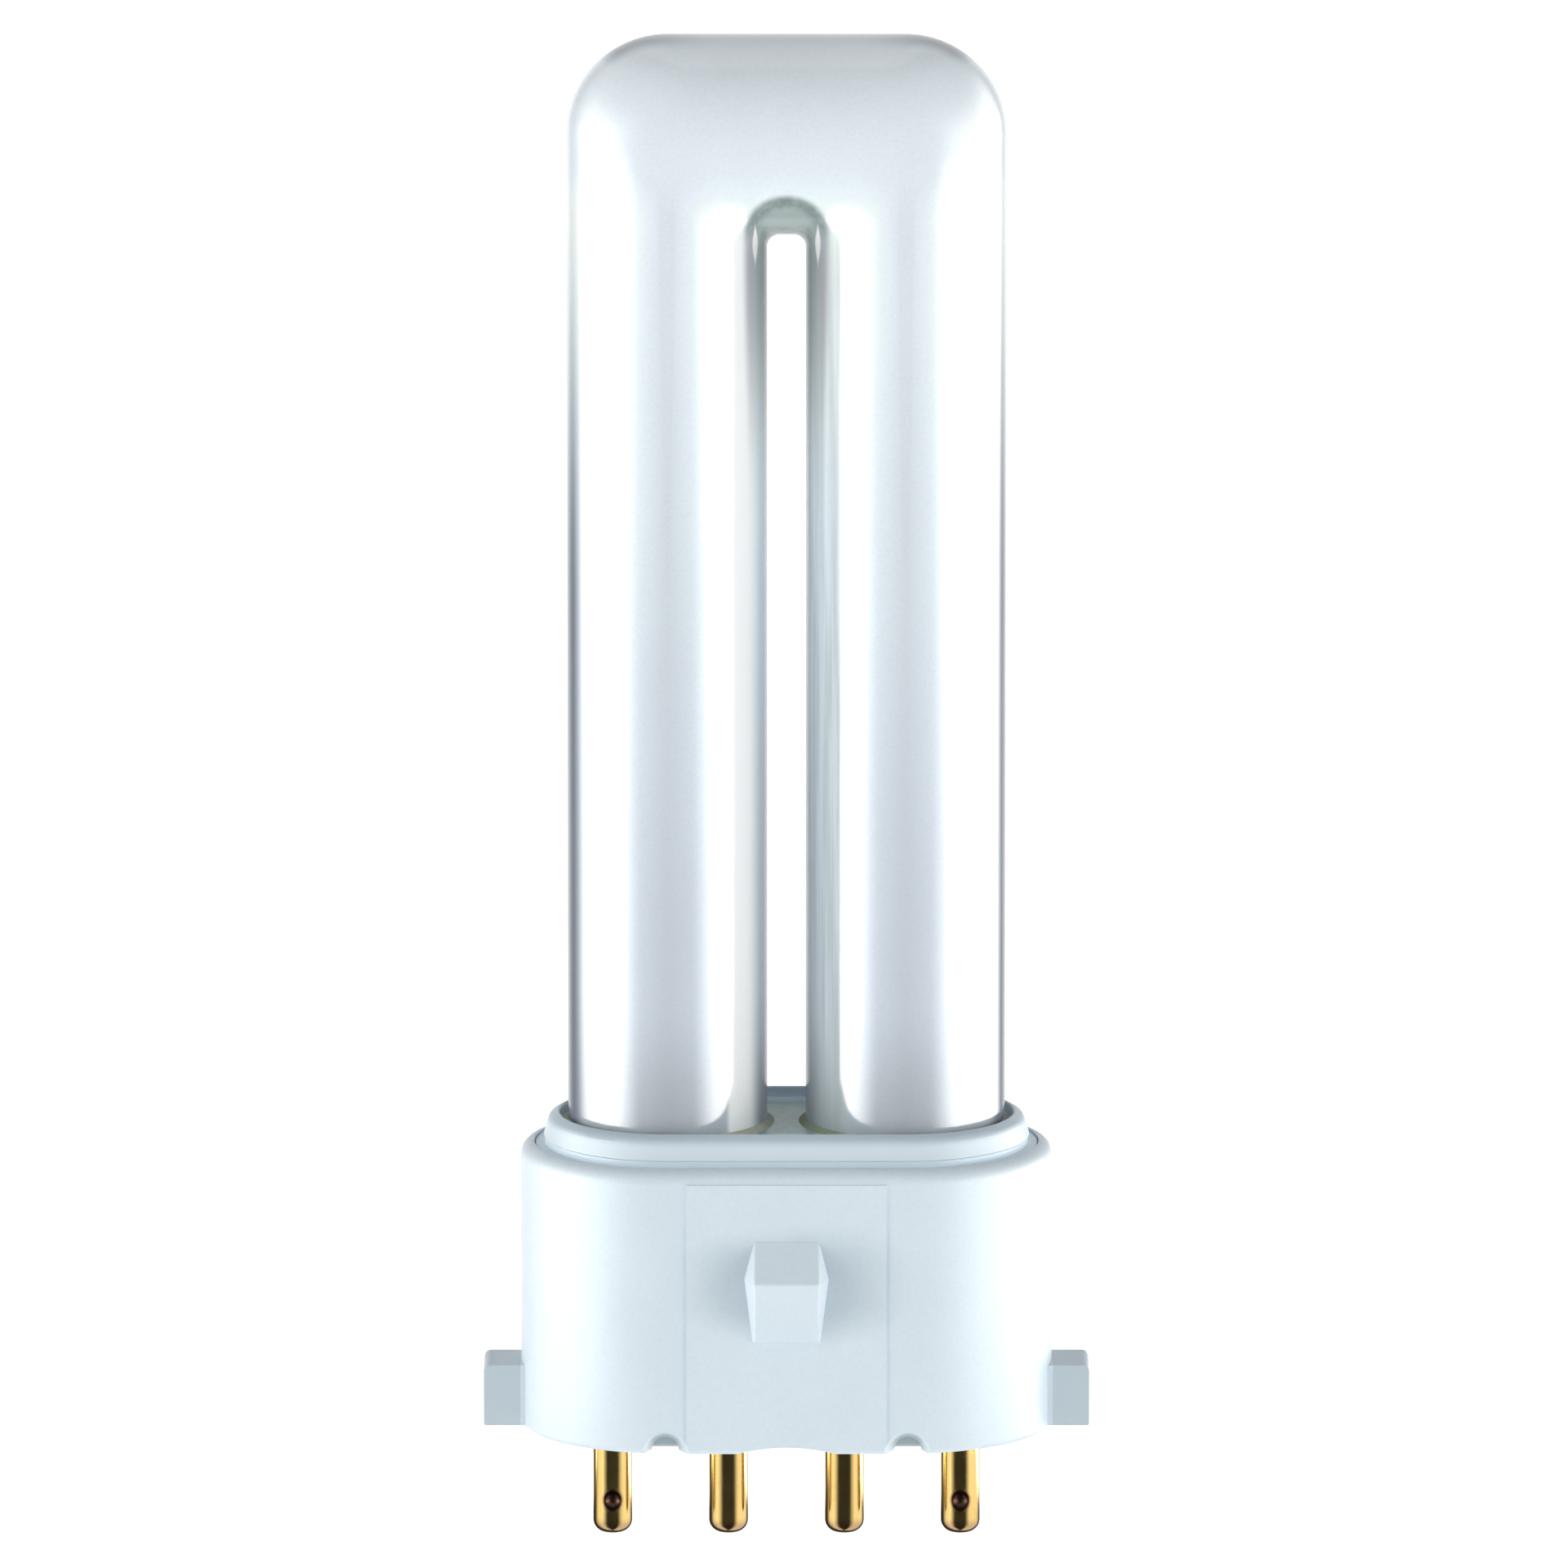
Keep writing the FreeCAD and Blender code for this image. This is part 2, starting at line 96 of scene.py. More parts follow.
class Nodes:
    """One node tree that is filled a node at a time."""

    def __init__(self, tree: bpy.types.NodeTree) -> None:
        """Empties the tree.

        Args:
            tree: The node tree of a material or world.
        """
        self.tree = tree
        tree.nodes.clear()

    def add(self, kind: str, **settings: Any) -> Node:
        """Adds one node.

        Args:
            kind: The node's type without its ShaderNode prefix.
            **settings: Properties of the node, set by name.

        Returns:
            The new node.
        """
        node = self.tree.nodes.new(f"ShaderNode{kind}")
        for name, value in settings.items():
            setattr(node, name, value)
        return node

    def feed(self, target: Socket, value: Any) -> None:
        """Links a socket to another, or sets it to a constant.

        Args:
            target: The input socket.
            value: An output socket, a number or a colour.
        """
        if isinstance(value, Socket):
            self.tree.links.new(value, target)
        elif isinstance(value, tuple) and len(value) == 3 and target.type == "RGBA":
            target.default_value = (*value, 1.0)
        else:
            target.default_value = value

    def math(self, operation: str, *values: Any) -> Socket:
        """Adds a Math node.

        Args:
            operation: The node's operation.
            *values: Its inputs, as sockets or numbers.

        Returns:
            The result's socket.
        """
        node = self.add("Math", operation=operation)
        for socket, value in zip(node.inputs, values):
            self.feed(socket, value)
        return node.outputs[0]

    def total(self, first: Any, second: Any) -> Socket:
        """The sum of two values."""
        return self.math("ADD", first, second)

    def product(self, first: Any, *others: Any) -> Socket:
        """Multiplies values with each other.

        Args:
            first: The first value, as a socket or a number.
            *others: The other values.

        Returns:
            The product's socket.
        """
        for other in others:
            first = self.math("MULTIPLY", first, other)
        return first

    def past(self, value: Any, level: float) -> Socket:
        """How far a value is above a level, and 0 below it."""
        return self.math("MAXIMUM", self.math("SUBTRACT", value, level), 0.0)

    def apart(self, value: Any, level: float) -> Socket:
        """How far a value is from a level, either way."""
        return self.math("ABSOLUTE", self.math("SUBTRACT", value, level))

    def distance(self, across: Any, up: Any) -> Socket:
        """The length of the line that goes this far across and up."""
        squares = self.total(self.product(across, across), self.product(up, up))
        return self.math("SQRT", squares)

    def spread(self, value: Any, span: Span) -> Socket:
        """Maps a range of values smoothly onto another.

        Args:
            value: The socket that is mapped.
            span: The range, which may run downwards, and what its two ends become.

        Returns:
            The mapped socket.
        """
        ends = (span.start, span.end, span.first, span.last)
        if span.start > span.end:
            ends = (span.end, span.start, span.last, span.first)
        node = self.add("MapRange", interpolation_type="SMOOTHSTEP")
        for socket, end in zip(list(node.inputs)[1:5], ends):
            socket.default_value = end
        self.feed(node.inputs[0], value)
        return node.outputs[0]

    def blend(self, share: Any, first: Any, second: Any, way: str = "MIX") -> Socket:
        """Mixes two colours.

        Args:
            share: How much of the second colour shows.
            first: The first colour, as a socket or a colour.
            second: The second colour, as a socket or a colour.
            way: The way in which the second colour is laid on the first.

        Returns:
            The mixed colour's socket.
        """
        node = self.add("Mix", data_type="RGBA", blend_type=way)
        self.feed(node.inputs[0], share)
        self.feed(node.inputs[6], first)
        self.feed(node.inputs[7], second)
        return node.outputs[2]

    def place(self, along: float = 1.0) -> Socket:
        """The point on the object, in its own coordinates.

        Args:
            along: What its Z is multiplied by.

        Returns:
            The point's socket.
        """
        mapping = self.add("Mapping")
        self.feed(mapping.inputs["Vector"], self.add("TexCoord").outputs["Object"])
        mapping.inputs["Scale"].default_value = (1.0, 1.0, along)
        return mapping.outputs[0]

    def spot(self) -> Spot:
        """Splits the point on the object into its coordinates.

        Returns:
            The point's coordinates and its distances from the middle.
        """
        split = self.add("SeparateXYZ")
        self.feed(split.inputs[0], self.place())
        x, y, z = split.outputs
        return Spot(x, y, z, self.math("ABSOLUTE", x), self.math("ABSOLUTE", y))

    def noise(self, grain: Grain) -> Socket:
        """Cloudy noise on the object's own coordinates.

        Args:
            grain: How fine and how strong the noise is.

        Returns:
            The noise's value socket.
        """
        node = self.add("TexNoise")
        self.feed(node.inputs["Vector"], self.place(grain.along))
        node.inputs["Scale"].default_value = grain.scale
        node.inputs["Detail"].default_value = grain.detail
        node.inputs["Roughness"].default_value = grain.rough
        return node.outputs["Fac"]

    def bump(self, height: Socket, depth: float) -> Socket:
        """Turns a height into a bumped normal.

        Args:
            height: The height's socket, from 0 to 1.
            depth: How deep the full height is, in metres.

        Returns:
            The normal's socket.
        """
        node = self.add("Bump")
        node.inputs["Strength"].default_value = 1.0
        node.inputs["Distance"].default_value = depth
        self.feed(node.inputs["Height"], height)
        return node.outputs[0]

    def join(self, kind: str, *values: Any) -> Socket:
        """Joins two shaders by a node that mixes or adds them.

        Args:
            kind: The node's type, MixShader or AddShader.
            *values: Its inputs in order, which for a mix start with the second shader's share.

        Returns:
            The joint shader's socket.
        """
        node = self.add(kind)
        for socket, value in zip(node.inputs, values):
            self.feed(socket, value)
        return node.outputs[0]

    def glow(self, kind: str, strength: Any, colour: Any = (1.0, 1.0, 1.0)) -> Socket:
        """Adds a shader that gives light.

        Args:
            kind: The node's type, Emission or Background.
            strength: The light's strength.
            colour: The light's colour.

        Returns:
            The shader's socket.
        """
        node = self.add(kind)
        self.feed(node.inputs["Strength"], strength)
        self.feed(node.inputs["Color"], colour)
        return node.outputs[0]


@dataclass(frozen=True)
class Finish:
    """What every finish has."""

    name: str

    def material(self) -> bpy.types.Material:
        """Makes the finish's material once, and gives the same one after that.

        Returns:
            The finish's material.
        """
        known = bpy.data.materials.get(self.name)
        if known is not None:
            return known
        made = bpy.data.materials.new(self.name)
        made.use_nodes = True
        nodes = Nodes(made.node_tree)
        shader = nodes.add("BsdfPrincipled")
        output = nodes.add("OutputMaterial")
        nodes.feed(output.inputs["Surface"], shader.outputs[0])
        self.fill(nodes, shader)
        return made

    def fill(self, nodes: Nodes, shader: Node) -> None:
        """Sets the shader's sockets.

        Args:
            nodes: The material's node tree.
            shader: Its Principled shader.
        """
        raise NotImplementedError


@dataclass(frozen=True)
class CoatedGlass(Finish):
    """Clear drawn glass over a white powder coating that can't be seen through."""

    # The coating, from the bend down to the foot, with painted shade that darkens it down the
    # legs and more at the foot, and its unevenness.
    powder: Colour = (0.845, 0.935, 0.995)
    shaded_low_powder: Colour = (0.59, 0.655, 0.725)
    shaded_foot_powder: Colour = (0.42, 0.47, 0.505)
    thin_powder: Colour = (0.93, 0.93, 0.93)
    low_height: Span = Span(0.078, 0.018)
    foot_height: Span = Span(0.0275, 0.0188, 0.0, 0.9)
    clouds: Grain = Grain(160.0, 4.0, 0.35)
    cloud_share: Span = Span(0.35, 0.7, 0.0, 0.5)
    specks: Grain = Grain(5200.0, 2.0)
    speck_share: Span = Span(0.35, 0.75, 0.0, 0.5)

    # The glass over it.
    refraction: float = 1.52
    cloud_rough: Span = Span(0.3, 0.75, 0.1, 0.15)
    drawn: Grain = Grain(90.0, 2.0, 0.25)
    drawn_depth: float = 0.00004

    # The coating's painted sheen, laid in its colour: how far it has turned away where that
    # starts, and the change to full.
    facing_blend: float = 0.5
    sheen_from: float = 0.020
    sheen_width: float = 0.050
    sheen_lift: Span = Span(0.078, 0.0745, 0.0, 0.20)
    facing_level: Span = Span(0.078, 0.0745, 0.98, 0.93)

    # The bare glass of the legs' ends, and painted shade along the outline, where the surface
    # turns away.
    bare_end: Colour = (0.50, 0.47, 0.56)
    end_height: Span = Span(0.0245, 0.0196)
    end_turned: Span = Span(0.35, 0.8, 0.0, 0.8)
    edge: Colour = (0.20, 0.23, 0.28)
    low_edge: Span = Span(0.080, 0.050, 0.12, 1.0)
    top_edge: Span = Span(0.0832, 0.0842, 0.0, 0.75)
    edge_aside: Span = Span(0.004, 0.010, 0.2, 1.0)
    edge_turned: Span = Span(0.42, 0.68)

    # The flanks beside the gap: painted light on the left leg's inner flank, and streaky painted
    # shade on the right one's.
    painted_lit_flank: Colour = (0.97, 0.985, 0.99)
    painted_shaded_flank: Colour = (0.42, 0.49, 0.49)
    flank_front: Span = Span(0.001, -0.0025)
    flank_height: Span = Span(0.076, 0.0715)
    flank_outer: Span = Span(0.0037, 0.0033)
    bright_inner: Span = Span(0.0015, 0.0023)
    dull_streaks: Grain = Grain(2300.0, 3.0, 0.03)
    dull_streak_share: Span = Span(0.3, 0.7, 0.3, 1.0)
    dull_height: Span = Span(0.066, 0.040, 0.45, 0.8)

    # The ring round the top of the gap, by parts of its radius: the grey-green of thick glass,
    # with painted shade where the legs shade each other.
    ring: Colour = (0.36, 0.44, 0.43)
    ring_side: Colour = (0.44, 0.43, 0.49)
    ring_line: Colour = (0.19, 0.26, 0.255)
    ring_centre: float = 0.0737
    ring_radius: Span = Span(0.050, 0.0737, 0.002091, 0.00255)
    ring_part: Span = Span(1.08, 0.88)
    ring_height: Span = Span(0.056, 0.0725, 0.0, 0.9)
    ring_streaks: Grain = Grain(2600.0, 3.0, 0.08)
    ring_streak_share: Span = Span(0.3, 0.65, 0.45, 1.0)
    side_part: Span = Span(0.6, 0.85)
    line_part: Span = Span(0.56, 0.78)
    arch_height: Span = Span(0.0727, 0.0743)
    under_arch_aside: Span = Span(0.0017, 0.0012)
    under_arch_height: Span = Span(0.0743, 0.0736)

    # The painted highlight: a slim glint on each side of it.
    glint: Colour = (0.98, 0.98, 0.99)
    glint_x: float = 0.00187
    glint_z: float = 0.0729
    glint_half: Span = Span(0.0018, 0.0, 0.0, 0.0002)
    glint_edge: Span = Span(-0.00002, 0.0001)

    def fill(self, nodes: Nodes, shader: Node) -> None:
        """Sets the shader's sockets.

        Args:
            nodes: The material's node tree.
            shader: Its Principled shader.
        """
        spot = nodes.spot()
        clouds = nodes.noise(self.clouds)
        uneven = nodes.total(nodes.spread(clouds, self.cloud_share),
                             nodes.spread(nodes.noise(self.specks), self.speck_share))
        # Painted shade: the coating darkens down the legs, and more at the foot.
        powder = nodes.blend(nodes.spread(spot.z, self.low_height), self.powder, self.shaded_low_powder)
        powder = nodes.blend(nodes.spread(spot.z, self.foot_height), powder, self.shaded_foot_powder)
        coating = nodes.blend(uneven, powder, self.thin_powder, "MULTIPLY")
        rim = nodes.add("LayerWeight")
        rim.inputs["Blend"].default_value = self.facing_blend
        turned = rim.outputs["Facing"]
        coating = self.sheen(nodes, spot, turned, coating)
        coating = self.ends_and_outline(nodes, spot, turned, coating)
        coating = self.inner_flanks(nodes, spot, coating)
        coating = self.ring_round_gap(nodes, spot, coating)
        nodes.feed(shader.inputs["Base Color"], self.painted_glints(nodes, spot, coating))
        nodes.feed(shader.inputs["Roughness"], nodes.spread(clouds, self.cloud_rough))
        nodes.feed(shader.inputs["Normal"], nodes.bump(nodes.noise(self.drawn), self.drawn_depth))
        shader.inputs["IOR"].default_value = self.refraction

    def sheen(self, nodes: Nodes, spot: Spot, turned: Socket, under: Socket) -> Socket:
        """Paints a sheen into the coating, brighter from where it faces the eye to where it turns
        away.

        Args:
            nodes: The material's node tree.
            spot: The point on the glass.
            turned: How far the surface turns away, from 0 to 1.
            under: The coating's colour.

        Returns:
            The coating's colour with its painted sheen.
        """
        share = nodes.math("DIVIDE", nodes.past(turned, self.sheen_from), self.sheen_width)
        share = nodes.math("MINIMUM", nodes.math("SQRT", share), 1.0)
        level = nodes.total(nodes.product(share, nodes.spread(spot.z, self.sheen_lift)),
                            nodes.spread(spot.z, self.facing_level))
        scaled = nodes.add("VectorMath", operation="SCALE")
        nodes.feed(scaled.inputs[0], under)
        nodes.feed(scaled.inputs["Scale"], level)
        kept = nodes.add("VectorMath", operation="MINIMUM")
        nodes.feed(kept.inputs[0], scaled.outputs[0])
        kept.inputs[1].default_value = (1.0, 1.0, 1.0)
        return kept.outputs[0]

    def ends_and_outline(self, nodes: Nodes, spot: Spot, turned: Socket,
                         under: Socket) -> Socket:
        """Bares the legs' ends and paints shade along the outline, where the surface turns away.

        Args:
            nodes: The material's node tree.
            spot: The point on the glass.
            turned: How far the surface turns away, from 0 to 1.
            under: The colour elsewhere.

        Returns:
            The colour with the bare ends and the outline's painted shade.
        """
        bared = nodes.product(nodes.spread(spot.z, self.end_height),
                              nodes.spread(turned, self.end_turned))
        # Painted shade along the outline.
        strength = nodes.math("MAXIMUM", nodes.spread(spot.z, self.low_edge),
                              nodes.spread(spot.z, self.top_edge))
        share = nodes.product(strength, nodes.spread(spot.aside, self.edge_aside),
                              nodes.spread(turned, self.edge_turned))
        return nodes.blend(share, nodes.blend(bared, under, self.bare_end), self.edge)

    def inner_flanks(self, nodes: Nodes, spot: Spot, under: Socket) -> Socket:
        """Paints light on the left leg's inner flank and streaky shade on the right one's.

        Args:
            nodes: The material's node tree.
            spot: The point on the glass.
            under: The colour elsewhere.

        Returns:
            The colour with both flanks on it.
        """
        shown = nodes.product(nodes.spread(spot.y, self.flank_front),
                              nodes.spread(spot.z, self.flank_height),
                              nodes.spread(spot.aside, self.flank_outer))
        left = nodes.math("LESS_THAN", spot.x, 0.0)
        # Share of the painted light on the left leg's inner flank.
        lit_share = nodes.product(left, nodes.spread(spot.aside, self.bright_inner))
        streaks = nodes.spread(nodes.noise(self.dull_streaks), self.dull_streak_share)
        # thin is the share of the painted shade on the right leg's inner flank.
        thin = nodes.product(nodes.math("SUBTRACT", 1.0, left),
                             nodes.product(streaks, nodes.spread(spot.z, self.dull_height)))
        bright = nodes.blend(nodes.product(shown, lit_share), under, self.painted_lit_flank)
        return nodes.blend(nodes.product(shown, thin), bright, self.painted_shaded_flank)

    def ring_round_gap(self, nodes: Nodes, spot: Spot, under: Socket) -> Socket:
        """Lays the grey-green of thick clear glass, with painted shade, round the gap between the
        legs.

        Args:
            nodes: The material's node tree.
            spot: The point on the glass.
            under: The colour elsewhere.

        Returns:
            The colour with the ring on it.
        """
        away = nodes.distance(spot.aside, nodes.past(spot.z, self.ring_centre))
        part = nodes.math("DIVIDE", away, nodes.spread(spot.z, self.ring_radius))
        arch = nodes.spread(spot.z, self.arch_height)
        streaks = nodes.spread(nodes.noise(self.ring_streaks), self.ring_streak_share)
        wall = nodes.blend(nodes.product(nodes.spread(part, self.side_part), streaks),
                           self.ring, self.ring_side)
        under_arch = nodes.product(nodes.spread(spot.aside, self.under_arch_aside),
                                   nodes.spread(spot.z, self.under_arch_height))
        line = nodes.product(nodes.spread(part, self.line_part), arch)
        line = nodes.product(nodes.math("MAXIMUM", line, under_arch), streaks)
        tint = nodes.blend(line, nodes.blend(arch, wall, self.ring), self.ring_line)
        # Share of the ring's grey-green and painted shade.
        share = nodes.product(nodes.spread(part, self.ring_part),
                              nodes.spread(spot.z, self.ring_height))
        return nodes.blend(share, under, tint)

    def painted_glints(self, nodes: Nodes, spot: Spot, under: Socket) -> Socket:
        """Paints a slim highlight on each side of the ring, pointed at both ends.

        Args:
            nodes: The material's node tree.
            spot: The point on the glass.
            under: The colour elsewhere.

        Returns:
            The colour with the painted highlights on it.
        """
        # Painted highlight, lens-shaped, on each side of the ring.
        half = nodes.spread(nodes.apart(spot.z, self.glint_z), self.glint_half)
        inside = nodes.math("SUBTRACT", half, nodes.apart(spot.aside, self.glint_x))
        return nodes.blend(nodes.spread(inside, self.glint_edge), under, self.glint)


@dataclass(frozen=True)
class MouldedPlastic(Finish):
    """White satin plastic with the fine grain of its mould."""

    colour: Colour = (0.71, 0.81, 0.875)
    shade: Colour = (0.665, 0.77, 0.84)
    clouds: Grain = Grain(210.0)
    cloud_share: Span = Span(0.3, 0.75, 0.0, 0.45)
    grain: Grain = Grain(4300.0, rough=0.6)
    grain_share: Span = Span(0.35, 0.7, 0.0, 0.55)
    grain_rough: Span = Span(0.3, 0.7, 0.36, 0.5)
    grain_depth: float = 0.000004
    refraction: float = 1.5
    shine: float = 0.36

    def fill(self, nodes: Nodes, shader: Node) -> None:
        """Sets the shader's sockets.

        Args:
            nodes: The material's node tree.
            shader: Its Principled shader.
        """
        grain = nodes.noise(self.grain)
        mottle = nodes.total(nodes.spread(nodes.noise(self.clouds), self.cloud_share),
                             nodes.spread(grain, self.grain_share))
        plain = nodes.blend(mottle, self.colour, self.shade)
        nodes.feed(shader.inputs["Base Color"], self.marked(nodes, nodes.spot(), plain))
        nodes.feed(shader.inputs["Roughness"], nodes.spread(grain, self.grain_rough))
        nodes.feed(shader.inputs["Normal"], nodes.bump(grain, self.grain_depth))
        shader.inputs["IOR"].default_value = self.refraction
        shader.inputs["Specular IOR Level"].default_value = self.shine

    def marked(self, nodes: Nodes, spot: Spot, plain: Socket) -> Socket:
        """Lays the piece's own marks over the plastic's colour.

        Args:
            nodes: The material's node tree.
            spot: The point on the piece.
            plain: The plastic's colour.

        Returns:
            The colour with the marks on it.
        """
        raise NotImplementedError


@dataclass(frozen=True)
class ShellPlastic(MouldedPlastic):
    """The shell's plastic, with faint upright lines, and painted shade in the notches, on the
    ears and round the lug roots.
    """

    line: Colour = (0.58, 0.69, 0.76)
    line_x: float = 0.00615
    line_width: Span = Span(0.00011, 0.00004, 0.0, 0.4)
    line_deep: Span = Span(0.0082, 0.0085)
    line_height: Span = Span(0.0145, 0.0135)
    breaks: Grain = Grain(700.0, 2.0)
    break_share: Span = Span(0.35, 0.6, 0.35, 1.0)
    # Painted shade on the ears.
    ear_shade: Colour = (0.50, 0.59, 0.64)
    ear_aside: Span = Span(0.0160, 0.0161, 0.0, 0.7)
    # Painted shade in the notches.
    notch_shade: Colour = (0.40, 0.48, 0.515)
    notch_x: float = 0.0073
    notch_width: Span = Span(0.0012, 0.0006)
    notch_deep: Span = Span(0.0086, 0.0080)
    notch_z: float = 0.0012
    notch_height: Span = Span(0.0012, 0.00102, 0.0, 0.8)
    # Painted shadow round each lug, which reaches further on the right.
    painted_lug_shadow: Colour = (0.02, 0.11, 0.17)
    halo_part: Span = Span(1.0, 0.15, 0.0, 0.3)
    halo_reach: Span = Span(-0.001, 0.001, 0.0050, 0.0059)
    halo_deep: Span = Span(0.00902, 0.00892)
    halo_squeeze: float = 1.9
    lug_half: float = 0.00195
    lug_z: float = 0.0105
    lug_half_height: float = 0.001

    def marked(self, nodes: Nodes, spot: Spot, plain: Socket) -> Socket:
        """Lays two lines on the front and back, painted shadow round the lugs, and painted shade
        in the notches and on the ears.

        Args:
            nodes: The material's node tree.
            spot: The point on the shell.
            plain: The plastic's colour.

        Returns:
            The colour with the marks on it.
        """
        line = nodes.product(nodes.spread(nodes.apart(spot.aside, self.line_x), self.line_width),
                             nodes.spread(nodes.noise(self.breaks), self.break_share),
                             nodes.spread(spot.deep, self.line_deep),
                             nodes.spread(spot.z, self.line_height))
        notch_share = nodes.product(
            nodes.spread(nodes.apart(spot.aside, self.notch_x), self.notch_width),
            nodes.spread(spot.deep, self.notch_deep),
            nodes.spread(nodes.apart(spot.z, self.notch_z), self.notch_height))
        lined = nodes.blend(line, plain, self.line)
        # Painted shade on the ears, then in the notches, then the painted shadow round the lugs.
        ear_shaded = nodes.blend(nodes.spread(spot.aside, self.ear_aside), lined, self.ear_shade)
        notch_shaded = nodes.blend(notch_share, ear_shaded, self.notch_shade)
        return nodes.blend(self.painted_shadow_round_lug(nodes, spot), notch_shaded, self.painted_lug_shadow)

    def painted_shadow_round_lug(self, nodes: Nodes, spot: Spot) -> Socket:
        """How much painted shadow lies on the flat front and back round a lug, which reaches
        further on the right.

        Args:
            nodes: The material's node tree.
            spot: The point on the shell.

        Returns:
            The share of the painted shadow's colour.
        """
        beyond = nodes.past(spot.aside, self.lug_half)
        off = nodes.past(nodes.apart(spot.z, self.lug_z), self.lug_half_height)
        away = nodes.distance(beyond, nodes.product(off, self.halo_squeeze))
        part = nodes.math("DIVIDE", away, nodes.spread(spot.x, self.halo_reach))
        return nodes.product(nodes.spread(part, self.halo_part),
                             nodes.spread(spot.deep, self.halo_deep))


@dataclass(frozen=True)
class CollarPlastic(MouldedPlastic):
    """The collar's plastic, with painted shade and grey-green cement residue between the two
    legs.
    """

    # Painted shade with cement residue between the legs.
    shade_and_residue: Colour = (0.20, 0.39, 0.37)
    between_legs_aside: Span = Span(0.0026, 0.00104)
    between_legs_deep: Span = Span(0.0062, 0.0045)
    smears: Grain = Grain(1400.0, 4.0)
    smear_share: Span = Span(0.3, 0.6, 0.78, 0.97)
    # Painted light on the lip's lower part.
    painted_light_low: Colour = (0.72, 0.835, 0.91)
    low_height: Span = Span(0.0190, 0.0184)

    def marked(self, nodes: Nodes, spot: Spot, plain: Socket) -> Socket:
        """Lays painted shade with cement residue between the sockets, and a painted lighter tone
        on the lip's lower part.

        Args:
            nodes: The material's node tree.
            spot: The point on the collar.
            plain: The plastic's colour.

        Returns:
            The colour with the painted shade, the residue and the lighter lip on it.
        """
        share = nodes.product(nodes.spread(spot.aside, self.between_legs_aside),
                              nodes.spread(spot.deep, self.between_legs_deep),
                              nodes.spread(nodes.noise(self.smears), self.smear_share))
        # Painted light: the lip's lower part is paler.
        lit_lower = nodes.blend(nodes.spread(spot.z, self.low_height), plain, self.painted_light_low)
        return nodes.blend(share, lit_lower, self.shade_and_residue)


@dataclass(frozen=True)
class DrawnBrass(Finish):
    """Bright yellow brass with fine lines along the pin, a dark brown tone in its dents and a
    brown tone at its tips.
    """

    colour: Colour = (0.83, 0.60, 0.22)
    film: Colour = (0.55, 0.33, 0.12)
    lines: Grain = Grain(5200.0, 2.0, 0.04)
    line_share: Span = Span(0.45, 0.8, 0.0, 0.25)
    line_depth: float = 0.0000015
    stain: Grain = Grain(900.0, 4.0)
    stain_share: Span = Span(0.5, 0.8, 0.0, 0.45)
    stain_rough: Span = Span(0.3, 0.8, 0.08, 0.18)
    tip_tone: Colour = (0.42, 0.27, 0.17)
    tip_height: Span = Span(-0.0058, -0.0064, 0.0, 0.75)
    dent_tone: Colour = (0.105, 0.055, 0.038)
    dent_x: float = 0.0105
    dent_z: float = -0.0047
    dent_squeeze: float = 0.8
    dent_radius: Span = Span(0.000713, 0.000496)
    dent_rough: float = 0.25

    def fill(self, nodes: Nodes, shader: Node) -> None:
        """Sets the shader's sockets.

        Args:
            nodes: The material's node tree.
            shader: Its Principled shader.
        """
        spot = nodes.spot()
        lines = nodes.noise(self.lines)
        stain = nodes.noise(self.stain)
        worn = nodes.blend(nodes.total(nodes.spread(stain, self.stain_share),
                                       nodes.spread(lines, self.line_share)),
                           self.colour, self.film)
        tipped = nodes.blend(nodes.spread(spot.z, self.tip_height), worn, self.tip_tone)
        down = nodes.product(nodes.apart(spot.z, self.dent_z), self.dent_squeeze)
        away = nodes.distance(nodes.apart(spot.aside, self.dent_x), down)
        dent = nodes.spread(away, self.dent_radius)
        nodes.feed(shader.inputs["Base Color"], nodes.blend(dent, tipped, self.dent_tone))
        nodes.feed(shader.inputs["Roughness"],
                   nodes.total(nodes.spread(stain, self.stain_rough),
                               nodes.product(dent, self.dent_rough)))
        nodes.feed(shader.inputs["Normal"], nodes.bump(lines, self.line_depth))
        shader.inputs["Metallic"].default_value = 1.0


@dataclass(frozen=True)
class LampCement(Finish):
    """Chalky cement with a yellow-green cast, darker on the side of the gap."""

    colour: Colour = (0.80, 0.81, 0.66)
    shade: Colour = (0.62, 0.66, 0.50)
    gap_tone: Colour = (0.28, 0.36, 0.24)
    gap_tone_aside: Span = Span(0.0042, 0.0030, 0.0, 0.9)
    crumbs: Grain = Grain(2600.0, 5.0, rough=0.65)
    crumb_share: Span = Span(0.35, 0.7)
    crumb_rough: Span = Span(0.3, 0.7, 0.7, 0.9)
    crumb_depth: float = 0.00003

    def fill(self, nodes: Nodes, shader: Node) -> None:
        """Sets the shader's sockets.

        Args:
            nodes: The material's node tree.
            shader: Its Principled shader.
        """
        crumbs = nodes.noise(self.crumbs)
        plain = nodes.blend(nodes.spread(crumbs, self.crumb_share), self.colour, self.shade)
        # Darker towards the gap.
        stain = nodes.spread(nodes.spot().aside, self.gap_tone_aside)
        nodes.feed(shader.inputs["Base Color"], nodes.blend(stain, plain, self.gap_tone))
        nodes.feed(shader.inputs["Roughness"], nodes.spread(crumbs, self.crumb_rough))
        nodes.feed(shader.inputs["Normal"], nodes.bump(crumbs, self.crumb_depth))


